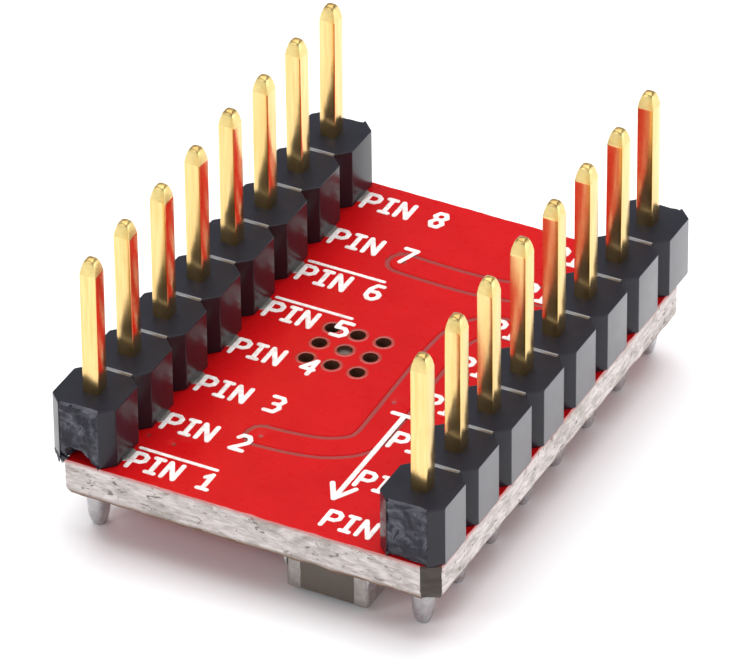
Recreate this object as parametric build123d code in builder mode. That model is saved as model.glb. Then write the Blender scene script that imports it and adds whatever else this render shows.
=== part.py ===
"""A pluggable stepper motor driver module, lying with its header pins up.

A small circuit board carries two rows of eight square pins in black header strips on its
upper face. The driver chip, a trimmer and the chip components hang from its lower face,
and the module stands on the soldered tails of its pins. X runs across the board, from the
control row to the motor row, Y runs along the rows, and Z = 0 is the plane of the tails.
"""

from build123d import *
import os

# Header rows
PITCH = 2.54
PINS_PER_ROW = 8
ROW_X = 6.35
PIN_SIDE = 0.64
PIN_CORNER = 0.05
PIN_ABOVE_BOARD = 7.93
PIN_BELOW_BOARD = 1.8
PIN_TIP_SIDE = 0.36
PIN_TIP_LENGTH = 0.75
PIN_TAIL_SIDE = 0.36
PIN_TAIL_LENGTH = 0.45
STRIP_HEIGHT = 2.4
STRIP_HALF_WIDTH = 1.25
NECK_HALF_WIDTH = 0.75
FLAT_HALF_LENGTH = 0.785
BREAK_GROOVE_WIDTH = 0.2
BREAK_GROOVE_DEPTH = 0.12

# Board
BOARD_THICKNESS = 1.5
BOARD_LEFT = -6.95
BOARD_RIGHT = 7.56
BOARD_FRONT = -10.15
BOARD_BACK = 9.88
FRONT_CORNER_CUT = (0.6, 0.3)
BACK_CORNER_CUT = (0.55, 1.0)
PIN_HOLE_RADIUS = 0.48
VIA_PITCH = 1.016
VIA_RADIUS = 0.32
VIA_WALL = 0.035

# Solder on the pin tails
SOLDER_BASE_RADIUS = 0.58
SOLDER_END_RADIUS = 0.46
SOLDER_LENGTH = 1.2
SOLDER_HOLLOW = 0.04

# Driver chip
CHIP_X = -1.24
CHIP_SIDE = 5.0
CHIP_HEIGHT = 0.85
LEADS_PER_SIDE = 7
LEAD_PITCH = 0.5
LEAD_WIDTH = 0.25
LEAD_LENGTH = 0.45
LEAD_HEIGHT = 0.2
THERMAL_PAD_SIDE = 3.1
DIE_SIDE = 2.4
DIE_HEIGHT = 0.25

# Trimmer, in heights above the board face that it sits on
TRIMMER_X = -0.6
TRIMMER_Y = 7.1
TERMINAL_SHEET = 0.1
TERMINAL_WIDTH = 0.7
TERMINAL_HOOK = 0.1
TERMINAL_FOOT = 0.8
TERMINAL_SPREAD = 1.9
BASE_LENGTH = 3.4
BASE_WIDTH = 3.2
BASE_TOP = 0.6
TRACK_RADII = (0.80, 1.20)
TRACK_TOP = 0.63
TRACK_HALF_ANGLE = 140
WIPER_BOTTOM = 0.65
WIPER_TOP = 0.73
WIPER_RADII = (0.42, 0.70)
WIPER_ARM_REACH = 1.1
WIPER_ARM_WIDTH = 0.4
ROTOR_RADIUS = 1.25
ROTOR_TOP = 1.25
ROTOR_BORE_RADIUS = 0.38
RECESS_RADIUS = 0.6
RECESS_FLOOR = 1.05
SLOT_WIDTH = 0.4
SLOT_FLOOR = 0.95
SLOT_REACH = 1.0
EYELET_RADIUS = 0.35
EYELET_BORE_RADIUS = 0.2
EYELET_HEAD_RADIUS = 0.55
EYELET_HEAD_BOTTOM = 1.07
EYELET_TOP = 1.22
LUG_HALF_ANGLE = 10
LUG_RADIUS = 1.5
LUG_TOP = 1.0
TRIMMER_TRAVEL = 120
STOP_GAP_ANGLE = 1.5
STOP_RADII = (1.32, 1.58)
STOP_TOP = 1.0

# Levels
UNDER_Z = PIN_BELOW_BOARD
TOP_Z = UNDER_Z + BOARD_THICKNESS
TIP_Z = TOP_Z + PIN_ABOVE_BOARD

CONTROL_PINS = (
    "enable", "microstep_1", "microstep_2", "microstep_3", "reset", "sleep", "step", "direction",
)
MOTOR_PINS = (
    "motor_supply", "motor_ground", "coil_2b", "coil_2a", "coil_1a", "coil_1b",
    "logic_supply", "logic_ground",
)

# name, x, y, length, width, height, length of each terminal, turned along Y
CHIP_COMPONENTS = (
    ("bulk_capacitor", 2.95, -8.75, 3.2, 1.6, 1.6, 0.65, False),
    ("supply_capacitor_1", 3.4, -5.6, 1.6, 0.8, 0.8, 0.35, True),
    ("supply_capacitor_2", 3.4, -3.1, 1.6, 0.8, 0.8, 0.35, True),
    ("charge_pump_capacitor", 3.4, -0.6, 1.6, 0.8, 0.8, 0.35, True),
    ("gate_drive_capacitor", 3.4, 1.9, 1.6, 0.8, 0.8, 0.35, True),
    ("regulator_capacitor", -3.1, 3.9, 1.6, 0.8, 0.8, 0.35, False),
    ("logic_capacitor", 3.4, 4.4, 1.6, 0.8, 0.8, 0.35, True),
    ("sense_resistor_1", -3.3, -4.3, 2.0, 1.25, 0.55, 0.4, False),
    ("sense_resistor_2", 0.6, -4.3, 2.0, 1.25, 0.55, 0.4, False),
    ("pulldown_resistor_1", -4.65, -1.2, 1.0, 0.5, 0.35, 0.25, True),
    ("pulldown_resistor_2", -4.65, 1.2, 1.0, 0.5, 0.35, 0.25, True),
    ("off_time_resistor", 0.3, 3.9, 1.6, 0.8, 0.45, 0.3, False),
    ("reference_resistor", 3.4, 7.0, 1.6, 0.8, 0.45, 0.3, True),
)
TERMINAL_SKIN = 0.04
FILLET_REACH = 0.25
FILLET_SHARE = 0.6

ON_FLOOR = (Align.CENTER, Align.CENTER, Align.MIN)
row_ys = [(i - (PINS_PER_ROW - 1) / 2) * PITCH for i in range(PINS_PER_ROW)]
os.makedirs("parts", exist_ok=True)


def save(part, name):
    """Labels a finished piece and writes it as its own STEP file."""
    part.label = name
    export_step(part, f"parts/{name}.step")


def lower_face(x, y, along_y=False):
    """A plane on the board's lower face whose Z points away from the board."""
    x_dir = (0, 1, 0) if along_y else (1, 0, 0)
    return Plane(origin=(x, y, UNDER_Z), x_dir=x_dir, z_dir=(0, 0, -1))


def ring_segment(inner, outer, half_angle, middle):
    """A flat ring segment, half_angle degrees each side of the direction called middle."""
    first, last = middle - half_angle, middle + half_angle
    with BuildSketch(mode=Mode.PRIVATE) as segment:
        with BuildLine():
            outside = CenterArc((0, 0), outer, first, last - first)
            inside = CenterArc((0, 0), inner, first, last - first)
            Line(outside @ 0, inside @ 0)
            Line(outside @ 1, inside @ 1)
        make_face()
    return segment.sketch


def circuit_board():
    """The laminate, with its pin holes and the grid of thermal vias under the chip."""
    cut_x, cut_y = FRONT_CORNER_CUT
    back_x, back_y = BACK_CORNER_CUT
    outline = (
        (BOARD_LEFT, BOARD_FRONT),
        (BOARD_RIGHT - cut_x, BOARD_FRONT),
        (BOARD_RIGHT, BOARD_FRONT + cut_y),
        (BOARD_RIGHT, BOARD_BACK - back_y),
        (BOARD_RIGHT - back_x, BOARD_BACK),
        (BOARD_LEFT, BOARD_BACK),
    )
    with BuildPart() as board:
        with BuildSketch(Plane.XY.offset(UNDER_Z)):
            Polygon(*outline, align=None)
            with GridLocations(2 * ROW_X, PITCH, 2, PINS_PER_ROW):
                Circle(PIN_HOLE_RADIUS, mode=Mode.SUBTRACT)
            with Locations((CHIP_X, 0)):
                with GridLocations(VIA_PITCH, VIA_PITCH, 3, 3):
                    Circle(VIA_RADIUS, mode=Mode.SUBTRACT)
        extrude(amount=BOARD_THICKNESS)
    save(board.part, "circuit_board")
    with BuildPart() as barrels:
        with BuildSketch(Plane.XY.offset(UNDER_Z)):
            with Locations((CHIP_X, 0)):
                with GridLocations(VIA_PITCH, VIA_PITCH, 3, 3):
                    Circle(VIA_RADIUS)
                    Circle(VIA_RADIUS - VIA_WALL, mode=Mode.SUBTRACT)
        extrude(amount=BOARD_THICKNESS)
    save(barrels.part, "thermal_vias")


def header_strip(name, x):
    """A strip of eight octagonal housings joined at necks, with a break groove at each neck."""
    half_neck = PITCH / 2
    corner = (
        (NECK_HALF_WIDTH, -half_neck),
        (STRIP_HALF_WIDTH, -FLAT_HALF_LENGTH),
        (STRIP_HALF_WIDTH, FLAT_HALF_LENGTH),
        (NECK_HALF_WIDTH, half_neck),
    )
    octagon = corner + tuple((-px, -py) for px, py in corner)
    with BuildPart() as strip:
        with BuildSketch(Plane.XY.offset(TOP_Z)):
            with Locations((x, 0)):
                with GridLocations(0, PITCH, 1, PINS_PER_ROW):
                    Polygon(*octagon, align=None)
                    RectangleRounded(PIN_SIDE, PIN_SIDE, PIN_CORNER, mode=Mode.SUBTRACT)
        extrude(amount=STRIP_HEIGHT)
        groove = (
            (-BREAK_GROOVE_WIDTH / 2, 0),
            (BREAK_GROOVE_WIDTH / 2, 0),
            (0, -BREAK_GROOVE_DEPTH),
        )
        with BuildSketch(Plane.YZ.offset(x - STRIP_HALF_WIDTH)):
            with Locations((0, TOP_Z + STRIP_HEIGHT)):
                with GridLocations(PITCH, 0, PINS_PER_ROW - 1, 1):
                    Polygon(*groove, align=None)
        extrude(amount=2 * STRIP_HALF_WIDTH, mode=Mode.SUBTRACT)
    save(strip.part, name)


def square_bar(x, y):
    """One square pin, tapered at its mating tip and at its tail."""
    sections = (
        (0, PIN_TAIL_SIDE),
        (PIN_TAIL_LENGTH, PIN_SIDE),
        (TIP_Z - PIN_TIP_LENGTH, PIN_SIDE),
        (TIP_Z, PIN_TIP_SIDE),
    )
    with BuildPart() as bar:
        for lower, upper in zip(sections, sections[1:]):
            for height, side in (lower, upper):
                with BuildSketch(Plane.XY.offset(height)):
                    with Locations((x, y)):
                        RectangleRounded(side, side, PIN_CORNER)
            loft(ruled=True)
    return bar.part


def header_pins(x, names):
    for y, name in zip(row_ys, names):
        save(square_bar(x, y), f"pin_{name}")


def tail_solder(name, x):
    """The solder of one row: each joint fills its hole and climbs the tail in a hollow cone."""
    base = (SOLDER_BASE_RADIUS, UNDER_Z)
    end = (SOLDER_END_RADIUS, UNDER_Z - SOLDER_LENGTH)
    with BuildPart() as joint:
        with BuildSketch(Plane.XZ):
            with BuildLine():
                Polyline(end, (0, end[1]), (0, TOP_Z), (PIN_HOLE_RADIUS, TOP_Z),
                         (PIN_HOLE_RADIUS, UNDER_Z), base)
                SagittaArc(base, end, SOLDER_HOLLOW)
            make_face()
        revolve(axis=Axis.Z)
        with BuildSketch(Plane.XY):
            RectangleRounded(PIN_SIDE, PIN_SIDE, PIN_CORNER)
        extrude(amount=TIP_Z, mode=Mode.SUBTRACT)
    with BuildPart() as row:
        with Locations((x, 0)):
            with GridLocations(0, PITCH, 1, PINS_PER_ROW):
                add(joint.part)
    save(row.part, name)


def driver_chip():
    """A leadless square package: moulding, edge leads, thermal pad and the die on it."""
    place = lower_face(CHIP_X, 0)
    reach = (CHIP_SIDE - LEAD_LENGTH) / 2
    with BuildPart() as leads:
        for turn in range(4):
            with Locations(place):
                with PolarLocations(reach, 1, start_angle=90 * turn):
                    with GridLocations(0, LEAD_PITCH, 1, LEADS_PER_SIDE):
                        Box(LEAD_LENGTH, LEAD_WIDTH, LEAD_HEIGHT, align=ON_FLOOR)
    with BuildPart() as pad:
        with Locations(place):
            Box(THERMAL_PAD_SIDE, THERMAL_PAD_SIDE, LEAD_HEIGHT, align=ON_FLOOR)
    with BuildPart() as die:
        with Locations(place.offset(LEAD_HEIGHT)):
            Box(DIE_SIDE, DIE_SIDE, DIE_HEIGHT, align=ON_FLOOR)
    with BuildPart() as moulding:
        with Locations(place):
            Box(CHIP_SIDE, CHIP_SIDE, CHIP_HEIGHT, align=ON_FLOOR)
        for inner in (leads, pad, die):
            add(inner.part, mode=Mode.SUBTRACT)
    save(moulding.part, "chip_moulding")
    save(leads.part, "chip_leads")
    save(pad.part, "chip_thermal_pad")
    save(die.part, "chip_die")


def chip_component(name, x, y, length, width, height, terminal, along_y):
    """A block with a metal cap on each end, as on a chip capacitor or resistor."""
    place = lower_face(x, y, along_y)
    skin = TERMINAL_SKIN
    with BuildPart() as body:
        with Locations(place.offset(skin)):
            Box(length - 2 * skin, width - 2 * skin, height - 2 * skin, align=ON_FLOOR)
    with BuildPart() as caps:
        with Locations(place):
            with GridLocations(length - terminal, 0, 2, 1):
                Box(terminal, width, height, align=ON_FLOOR)
        add(body.part, mode=Mode.SUBTRACT)
    save(body.part, f"{name}_body")
    save(caps.part, f"{name}_terminals")


def component_solder():
    """A small wedge of solder against both ends of every chip component."""
    with BuildPart() as solder:
        for _, x, y, length, width, height, _, along_y in CHIP_COMPONENTS:
            place = lower_face(x, y, along_y)
            side = Plane(place.origin + place.y_dir * width / 2, place.x_dir, -place.y_dir)
            end = length / 2
            wedge = ((end, 0), (end + FILLET_REACH, 0), (end, height * FILLET_SHARE))
            with BuildSketch(side):
                Polygon(*wedge, align=None)
                Polygon(*[(-px, py) for px, py in wedge], align=None)
            extrude(amount=width)
    save(solder.part, "component_solder")


def trimmer_terminals(place):
    """Two track terminals at the back and one at the front that runs in to the eyelet."""
    half = BASE_LENGTH / 2
    sheet = TERMINAL_SHEET
    spots = ((-TERMINAL_SPREAD / 2, -1), (TERMINAL_SPREAD / 2, -1), (0, 1))
    with BuildPart() as terminals:
        for x, toward in spots:
            outer = toward * (half + sheet)
            middle = outer - toward * (TERMINAL_FOOT + sheet) / 2
            with BuildSketch(place):
                with Locations((x, middle)):
                    Rectangle(TERMINAL_WIDTH, TERMINAL_FOOT + sheet)
            extrude(amount=sheet)
            with BuildSketch(place):
                with Locations((x, outer - toward * sheet / 2)):
                    Rectangle(TERMINAL_WIDTH, sheet)
            extrude(amount=BASE_TOP + sheet)
            with BuildSketch(place.offset(BASE_TOP)):
                with Locations((x, outer - toward * (sheet + TERMINAL_HOOK) / 2)):
                    Rectangle(TERMINAL_WIDTH, sheet + TERMINAL_HOOK)
            extrude(amount=sheet)
        with BuildSketch(place):
            with Locations((0, half / 2)):
                Rectangle(TERMINAL_WIDTH, half)
            Circle(EYELET_HEAD_RADIUS, mode=Mode.SUBTRACT)
        extrude(amount=sheet)
    save(terminals.part, "trimmer_terminals")


def trimmer_base(place):
    """The ceramic plate with its printed track, and the stop that the rotor's lug runs against."""
    stop_half_angle = 180 - TRIMMER_TRAVEL - LUG_HALF_ANGLE - STOP_GAP_ANGLE
    with BuildPart() as base:
        with BuildSketch(place.offset(TERMINAL_SHEET)):
            Rectangle(BASE_WIDTH, BASE_LENGTH)
            Circle(EYELET_RADIUS, mode=Mode.SUBTRACT)
        extrude(amount=BASE_TOP - TERMINAL_SHEET)
        with BuildSketch(place.offset(BASE_TOP)):
            add(ring_segment(*STOP_RADII, stop_half_angle, 90))
        extrude(amount=STOP_TOP - BASE_TOP)
    save(base.part, "trimmer_base")
    with BuildPart() as track:
        with BuildSketch(place.offset(BASE_TOP)):
            add(ring_segment(*TRACK_RADII, TRACK_HALF_ANGLE, -90))
        extrude(amount=TRACK_TOP - BASE_TOP)
    save(track.part, "trimmer_track")


def trimmer_eyelet(place):
    """The hollow rivet that clamps the trimmer and is the rotor's axle."""
    rings = (
        (0, TERMINAL_SHEET, EYELET_HEAD_RADIUS),
        (TERMINAL_SHEET, EYELET_HEAD_BOTTOM, EYELET_RADIUS),
        (EYELET_HEAD_BOTTOM, EYELET_TOP, EYELET_HEAD_RADIUS),
    )
    with BuildPart() as eyelet:
        for lower, upper, radius in rings:
            with BuildSketch(place.offset(lower)):
                Circle(radius)
                Circle(EYELET_BORE_RADIUS, mode=Mode.SUBTRACT)
            extrude(amount=upper - lower)
    save(eyelet.part, "trimmer_eyelet")


def trimmer_rotor(place):
    """The turning disc with its cross slot and lug, and the wiper fixed under it."""
    with BuildPart() as rotor:
        with BuildSketch(place.offset(WIPER_TOP)):
            Circle(ROTOR_RADIUS)
            Circle(ROTOR_BORE_RADIUS, mode=Mode.SUBTRACT)
        extrude(amount=ROTOR_TOP - WIPER_TOP)
        with BuildSketch(place.offset(WIPER_TOP)):
            add(ring_segment(ROTOR_RADIUS - 0.2, LUG_RADIUS, LUG_HALF_ANGLE, -90))
        extrude(amount=LUG_TOP - WIPER_TOP)
        with BuildSketch(place.offset(RECESS_FLOOR)):
            Circle(RECESS_RADIUS)
        extrude(amount=ROTOR_TOP - RECESS_FLOOR, mode=Mode.SUBTRACT)
        with BuildSketch(place.offset(SLOT_FLOOR)):
            Rectangle(2 * SLOT_REACH, SLOT_WIDTH)
            Rectangle(SLOT_WIDTH, 2 * SLOT_REACH)
        extrude(amount=ROTOR_TOP - SLOT_FLOOR, mode=Mode.SUBTRACT)
    save(rotor.part, "trimmer_rotor")
    inner, outer = WIPER_RADII
    with BuildPart() as wiper:
        with BuildSketch(place.offset(WIPER_BOTTOM)):
            with Locations((0, -WIPER_ARM_REACH / 2)):
                Rectangle(WIPER_ARM_WIDTH, WIPER_ARM_REACH)
            Circle(outer)
            Circle(inner, mode=Mode.SUBTRACT)
        extrude(amount=WIPER_TOP - WIPER_BOTTOM)
    save(wiper.part, "trimmer_wiper")


circuit_board()
header_strip("header_strip_control", -ROW_X)
header_strip("header_strip_motor", ROW_X)
header_pins(-ROW_X, CONTROL_PINS)
header_pins(ROW_X, MOTOR_PINS)
tail_solder("solder_control_row", -ROW_X)
tail_solder("solder_motor_row", ROW_X)
driver_chip()
for component in CHIP_COMPONENTS:
    chip_component(*component)
component_solder()
trimmer_place = lower_face(TRIMMER_X, TRIMMER_Y)
for make in (trimmer_terminals, trimmer_base, trimmer_eyelet, trimmer_rotor):
    make(trimmer_place)
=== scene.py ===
"""A stepper driver module lying with its header pins up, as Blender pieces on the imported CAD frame.

Lengths in this script are millimetres in the CAD frame; new_piece turns them into metres. The
noises' scales are in features per millimetre.
"""

import bmesh
import bpy
import math
import random
from functools import partial
from mathutils import Matrix, Vector, noise
from mathutils.geometry import delaunay_2d_cdt


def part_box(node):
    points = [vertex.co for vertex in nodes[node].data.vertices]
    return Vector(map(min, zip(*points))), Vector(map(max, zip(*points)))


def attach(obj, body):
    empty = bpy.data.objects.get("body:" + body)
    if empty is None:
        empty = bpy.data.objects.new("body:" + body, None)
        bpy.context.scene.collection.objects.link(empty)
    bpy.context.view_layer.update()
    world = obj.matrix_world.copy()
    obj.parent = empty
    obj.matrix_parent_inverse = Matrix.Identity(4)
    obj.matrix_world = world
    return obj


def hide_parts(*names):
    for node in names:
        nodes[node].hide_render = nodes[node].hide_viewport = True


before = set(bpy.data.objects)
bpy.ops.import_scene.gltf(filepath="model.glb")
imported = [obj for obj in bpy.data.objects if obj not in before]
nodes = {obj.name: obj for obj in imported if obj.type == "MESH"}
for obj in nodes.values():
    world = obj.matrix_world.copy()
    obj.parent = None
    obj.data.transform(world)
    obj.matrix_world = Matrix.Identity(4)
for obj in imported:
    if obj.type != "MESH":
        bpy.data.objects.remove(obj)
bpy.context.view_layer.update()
scene = bpy.context.scene
MM = 0.001


def box_mm(node):
    """The lowest and highest corner of a CAD node, in millimetres."""
    low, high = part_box(node)
    return low / MM, high / MM


def middle_mm(node):
    low, high = box_mm(node)
    return (low + high) / 2


def component_box(name):
    """A chip component's lowest and highest corner, and its long axis: 0 for X or 1 for Y."""
    low, high = box_mm(f"{name}_terminals")
    return low, high, 0 if high.x - low.x > high.y - low.y else 1


BOARD_LOW, BOARD_HIGH = box_mm("circuit_board")
UNDER_Z = BOARD_LOW.z
TOP_Z = BOARD_HIGH.z
PIN_TIP_Z = box_mm("pin_enable")[1].z
PITCH = 2.54
CONTROL_PINS = (
    "enable", "microstep_1", "microstep_2", "microstep_3", "reset", "sleep", "step", "direction",
)
MOTOR_PINS = (
    "motor_supply", "motor_ground", "coil_2b", "coil_2a", "coil_1a", "coil_1b",
    "logic_supply", "logic_ground",
)
ROWS = (("control", CONTROL_PINS), ("motor", MOTOR_PINS))
COMPONENTS = sorted(n[: -len("_terminals")] for n in nodes
                    if n.endswith("_terminals") and not n.startswith("trimmer"))


# ---------------------------------------------------------------- materials

class Surface:
    """A material with short calls for the nodes that the surfaces here share."""

    def __init__(self, name, **sockets):
        self.material = bpy.data.materials.new(name)
        self.material.use_nodes = True
        self.nodes = self.material.node_tree.nodes
        self.links = self.material.node_tree.links
        self.shader = self.nodes["Principled BSDF"]
        for socket, value in sockets.items():
            self.shader.inputs[socket.replace("_", " ")].default_value = value
        self.height = None

    def position(self, stretch=(1, 1, 1)):
        """Object coordinates in millimetres, times stretch along each axis."""
        coordinates = self.nodes.new("ShaderNodeTexCoord")
        mapping = self.nodes.new("ShaderNodeMapping")
        mapping.inputs["Scale"].default_value = [s / MM for s in stretch]
        self.links.new(coordinates.outputs["Object"], mapping.inputs["Vector"])
        return mapping.outputs["Vector"]

    def noise(self, scale, detail=3.0, stretch=(1, 1, 1), distortion=0.0):
        texture = self.nodes.new("ShaderNodeTexNoise")
        texture.inputs["Scale"].default_value = scale
        texture.inputs["Detail"].default_value = detail
        texture.inputs["Distortion"].default_value = distortion
        self.links.new(self.position(stretch), texture.inputs["Vector"])
        return texture.outputs["Fac"]

    def height_above(self, low, high):
        """0 at height low and 1 at height high, in millimetres."""
        split = self.nodes.new("ShaderNodeSeparateXYZ")
        self.links.new(self.position(), split.inputs["Vector"])
        return self.spread(split.outputs["Z"], low, high, 0.0, 1.0)

    def spread(self, value, low, high, new_low, new_high):
        """value mapped from low..high to new_low..new_high, and clamped."""
        ranger = self.nodes.new("ShaderNodeMapRange")
        settings = (low, high, new_low, new_high)
        for socket, number in zip(("From Min", "From Max", "To Min", "To Max"), settings):
            ranger.inputs[socket].default_value = number
        self.links.new(value, ranger.inputs["Value"])
        return ranger.outputs["Result"]

    def ridge(self, value, centre, width):
        """1 where value is centre, falling to 0 at width to either side."""
        product = self.nodes.new("ShaderNodeMath")
        product.operation = "MULTIPLY"
        self.links.new(self.spread(value, centre - width, centre, 0, 1), product.inputs[0])
        self.links.new(self.spread(value, centre, centre + width, 1, 0), product.inputs[1])
        return product.outputs["Value"]

    def mix(self, factor, first, second):
        """A colour from first to second; either may be a colour or another mix."""
        mixer = self.nodes.new("ShaderNodeMix")
        mixer.data_type = "RGBA"
        self.links.new(factor, mixer.inputs["Factor"])
        for socket, color in ((mixer.inputs[6], first), (mixer.inputs[7], second)):
            if isinstance(color, tuple):
                socket.default_value = (*color, 1)
            else:
                self.links.new(color, socket)
        return mixer.outputs[2]

    def paint(self, color):
        self.links.new(color, self.shader.inputs["Base Color"])

    def vary_roughness(self, value, low, high):
        self.links.new(self.spread(value, 0.3, 0.7, low, high), self.shader.inputs["Roughness"])

    def bump(self, value, depth):
        """Adds relief with value as its height; depth is in millimetres."""
        relief = self.nodes.new("ShaderNodeBump")
        relief.inputs["Distance"].default_value = depth * MM
        self.links.new(value, relief.inputs["Height"])
        if self.height:
            self.links.new(self.height, relief.inputs["Normal"])
        self.height = relief.outputs["Normal"]
        self.links.new(self.height, self.shader.inputs["Normal"])
        return self


def mask_surface():
    """Glossy red solder mask: even, with a faint orange peel."""
    s = Surface("solder_mask", IOR=1.45, Specular_IOR_Level=0.08)
    cloud = s.spread(s.noise(0.5, 4.0), 0.35, 0.65, 0, 1)
    s.paint(s.mix(cloud, (0.455, 0.004, 0.0055), (0.495, 0.005, 0.007)))
    s.vary_roughness(s.noise(3.0), 0.26, 0.34)
    s.bump(s.noise(1.2, 2.0), 0.002).bump(s.noise(9.0, 1.0), 0.0003)
    return s.material


def legend_surface():
    """White ink, thinner and pinker in places where the mask shows through."""
    s = Surface("legend_ink", Roughness=0.55)
    s.paint(s.mix(s.spread(s.noise(5.0), 0.3, 0.6, 0, 1), (0.66, 0.55, 0.53), (0.84, 0.81, 0.79)))
    s.bump(s.noise(16.0), 0.003)
    return s.material


def laminate_surface():
    """A sawn glass-fibre edge: off-white, with pale fibres; its torn pits and undercut lower arris
    get painted shade, brown at the arris.
    """
    s = Surface("sawn_laminate", Roughness=0.8)
    fibres = s.noise(1.0, 5.0, stretch=(1.6, 1.6, 6.0), distortion=0.8)
    threads = s.noise(1.0, 3.0, stretch=(3.0, 3.0, 14.0), distortion=0.3)
    shaded_pits = s.noise(1.0, 5.0, stretch=(2.2, 2.2, 4.5), distortion=1.2)
    patches = s.noise(0.6, 4.0, stretch=(1, 1, 1.6), distortion=1.0)
    color = s.mix(s.spread(fibres, 0.36, 0.64, 0, 1), (0.46, 0.405, 0.39), (0.70, 0.64, 0.62))
    color = s.mix(s.spread(patches, 0.50, 0.66, 0, 0.6), color, (0.27, 0.235, 0.20))
    color = s.mix(s.spread(threads, 0.56, 0.72, 0, 0.6), color, (0.76, 0.71, 0.69))
    # The pits are sunk by the bump and darkened as well: painted shade in their hollows.
    color = s.mix(s.spread(shaded_pits, 0.60, 0.68, 0, 0.85), color, (0.13, 0.10, 0.075))
    # Brown painted shade along the undercut lower arris.
    undercut_shade = s.height_above(UNDER_Z + 0.34, UNDER_Z + 0.08)
    color = s.mix(undercut_shade, color, (0.16, 0.085, 0.045))
    lip = s.height_above(TOP_Z - 0.17, TOP_Z - 0.01)
    s.paint(s.mix(s.spread(lip, 0.0, 1.0, 0.0, 0.85), color, (0.52, 0.17, 0.16)))
    s.bump(fibres, 0.03).bump(threads, 0.015).bump(shaded_pits, -0.05)
    return s.material


def bare_surface():
    """The clipped front corner: smooth brown laminate that was never sawn."""
    s = Surface("bare_laminate", Roughness=0.5)
    grain = s.noise(1.0, 4.0, stretch=(2, 2, 5))
    s.paint(s.mix(grain, (0.012, 0.008, 0.006), (0.062, 0.042, 0.030)))
    s.bump(s.noise(5.0), 0.01)
    return s.material


def snapped_surface():
    """The torn grain where a header strip was snapped off: dull with pale stress marks."""
    s = Surface("snapped_plastic", IOR=1.5, Specular_IOR_Level=0.24)
    swirl = s.noise(0.8, 5.0, distortion=2.0)
    cloud = s.noise(1.5, 5.0, distortion=0.6)
    marks = s.mix(s.ridge(swirl, 0.46, 0.09), (0.022, 0.022, 0.032), (0.105, 0.104, 0.128))
    marks = s.mix(s.ridge(swirl, 0.58, 0.06), marks, (0.130, 0.130, 0.155))
    s.paint(s.mix(s.spread(cloud, 0.42, 0.58, 0, 1), (0.016, 0.016, 0.024), marks))
    s.vary_roughness(s.noise(6.0), 0.42, 0.62)
    s.bump(swirl, 0.02).bump(s.noise(11.0, 4.0), 0.010)
    return s.material


def torn_groove_highlight_surface():
    """What is left of a break groove above a torn end, painted paler: a painted highlight."""
    s = Surface("torn_groove_painted_highlight", Roughness=0.5, IOR=1.45, Specular_IOR_Level=0.2)
    s.paint(s.mix(s.spread(s.noise(1.2, 4.0), 0.38, 0.62, 0, 1),
                  (0.040, 0.039, 0.050), (0.105, 0.103, 0.122)))
    s.bump(s.noise(11.0, 3.0), 0.004)
    return s.material


def gold_surface():
    """Thin bright gold over drawn brass, with fine marks along the pin."""
    s = Surface("pin_gold", Metallic=1.0)
    drawn = s.noise(1.0, 3.0, stretch=(9.0, 9.0, 0.5))
    cloud = s.noise(0.9, 4.0)
    color = s.mix(s.spread(drawn, 0.35, 0.65, 0, 1), (0.84, 0.55, 0.21), (0.91, 0.65, 0.29))
    s.paint(s.mix(s.spread(cloud, 0.6, 0.75, 0, 0.35), color, (0.66, 0.42, 0.14)))
    s.vary_roughness(cloud, 0.16, 0.24)
    s.bump(drawn, 0.0015).bump(s.noise(4.0), 0.0015)
    return s.material


def coined_surface():
    """The coined tip of a pin: the same gold, duller and greyer, with small marks of the die."""
    s = Surface("pin_coined", Metallic=1.0)
    color = s.mix(s.noise(5.0, 4.0), (0.61, 0.47, 0.18), (0.84, 0.67, 0.29))
    # Darker brown towards the top of the tip.
    top_darkening = s.height_above(PIN_TIP_Z - 0.16, PIN_TIP_Z - 0.04)
    s.paint(s.mix(top_darkening, color, (0.35, 0.23, 0.08)))
    s.vary_roughness(s.noise(6.0), 0.28, 0.42)
    s.bump(s.noise(7.0, 3.0), 0.006)
    return s.material


def resistor_surface():
    """Black overcoat, glossy and slightly sagged."""
    s = Surface("resistor_coat", Base_Color=(0.010, 0.010, 0.013, 1))
    s.vary_roughness(s.noise(3.0), 0.15, 0.35)
    s.bump(s.noise(2.5), 0.012)
    return s.material


def floor_surface():
    """Matt white card."""
    s = Surface("floor", Roughness=0.9, Specular_IOR_Level=0.1)
    s.paint(s.mix(s.noise(0.02), (0.89, 0.89, 0.895), (0.91, 0.91, 0.915)))
    return s.material


def mingled(name, dark, pale, clouds, reliefs, polish=(), **sockets):
    """A material that wanders from a dark to a pale tone over fine relief.

    clouds is the scale of a noise, and its detail where that isn't 3. Each relief is a depth
    in millimetres and then such a noise. polish is the lowest roughness, the highest and such
    a noise, where the roughness isn't even.
    """
    s = Surface(name, **sockets)
    s.paint(s.mix(s.noise(*clouds), dark, pale))
    if polish:
        low, high, *grain = polish
        s.vary_roughness(s.noise(*grain), low, high)
    for depth, *grain in reliefs:
        s.bump(s.noise(*grain), depth)
    return s.material


# The board: mask, mask over bare laminate, print, sawn and clipped edges, and vias.
MASK = mask_surface()
GAP = mingled("solder_mask_gap", (0.21, 0.010, 0.008), (0.29, 0.016, 0.012), (4.0,),
              [(0.002, 12.0)], Roughness=0.32)
LEGEND = legend_surface()
LAMINATE = laminate_surface()
BARE = bare_surface()
COPPER = mingled("via_copper", (0.10, 0.05, 0.035), (0.30, 0.14, 0.08), (5.0,),
                 [(0.01, 8.0)], Roughness=0.5, Metallic=0.6)
# Thin mask over the raised copper round a via, which shows a little more orange.
RIM = mingled("via_rim", (0.28, 0.012, 0.009), (0.37, 0.028, 0.018), (4.0,),
              [(0.002, 8.0)], Roughness=0.26)
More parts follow.
